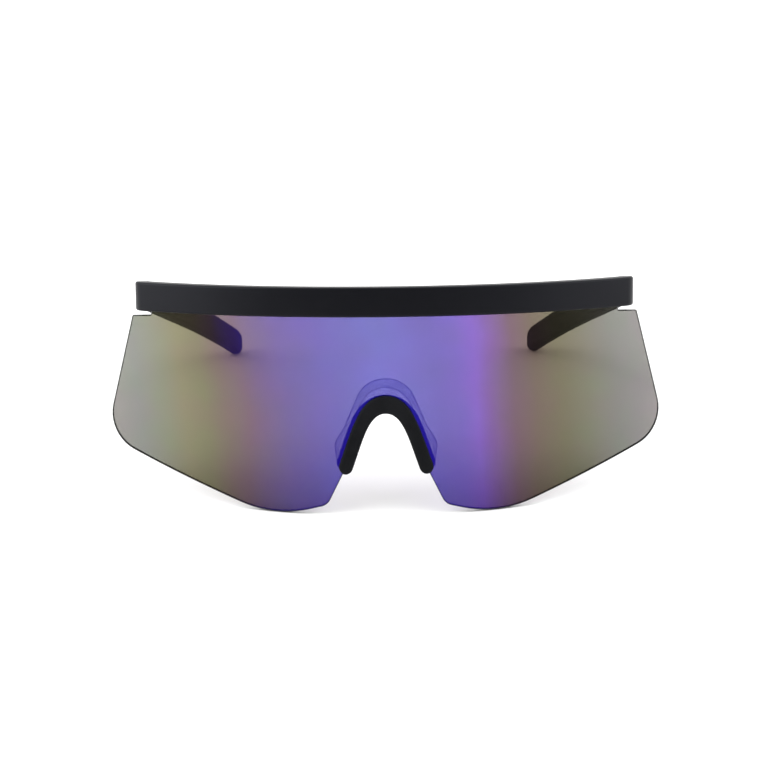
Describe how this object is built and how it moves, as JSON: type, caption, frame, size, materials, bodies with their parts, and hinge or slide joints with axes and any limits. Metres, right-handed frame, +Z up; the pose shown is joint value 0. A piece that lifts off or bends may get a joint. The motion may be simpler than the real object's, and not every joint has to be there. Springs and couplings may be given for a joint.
{
  "type": "shield sunglasses",
  "caption": "Shield sunglasses with one wide curved mirror lens under a slim brow bar, a rubber nose bridge in a clear carrier, and slim temples that fold on barrel hinges.",
  "frame": {"origin": "Middle of the overall box on the ground, below the middle of the open glasses as they stand on a table", "axes": "+X towards the wearer's left, which is the picture's right; +Y back along the open temples; +Z up. The glasses lean forward a little, resting on the lens's two low points and the temple tips."},
  "size_m": [0.1686, 0.1732, 0.0671],
  "materials": {
    "frame_plastic": "matt black injection moulding",
    "lens_plastic": "grey tinted lens with a mirror coat, violet blue at the middle, olive and grey towards the sides",
    "clear_plastic": "clear glossy moulding",
    "nose_rubber": "soft matt black rubber",
    "hinge_steel": "plain satin steel",
    "screw_steel": "dark satin steel"
  },
  "bodies": {
    "front": {"brow_bar": "frame_plastic", "shield_lens": "lens_plastic", "nose_carrier": "clear_plastic", "nose_bridge": "nose_rubber", "lens_screws": "screw_steel", "left_front_hinge": "hinge_steel", "left_front_hinge_screws": "screw_steel", "left_hinge_screw": "screw_steel", "right_front_hinge": "hinge_steel", "right_front_hinge_screws": "screw_steel", "right_hinge_screw": "screw_steel"},
    "left_temple": {"left_temple_hinge": "hinge_steel", "left_temple_hinge_screws": "screw_steel", "left_temple": "frame_plastic"},
    "right_temple": {"right_temple_hinge": "hinge_steel", "right_temple_hinge_screws": "screw_steel", "right_temple": "frame_plastic"}
  },
  "joints": [
    {"name": "left_temple_fold", "type": "hinge", "parent": "front", "child": "left_temple", "pos_m": [0.0687, -0.04553, 0.05721], "axis": [0, 0.1553, 0.9879], "range_deg": [0, 86]},
    {"name": "right_temple_fold", "type": "hinge", "parent": "front", "child": "right_temple", "pos_m": [-0.0687, -0.04553, 0.05721], "axis": [0, -0.1553, -0.9879], "range_deg": [0, 80]}
  ]
}
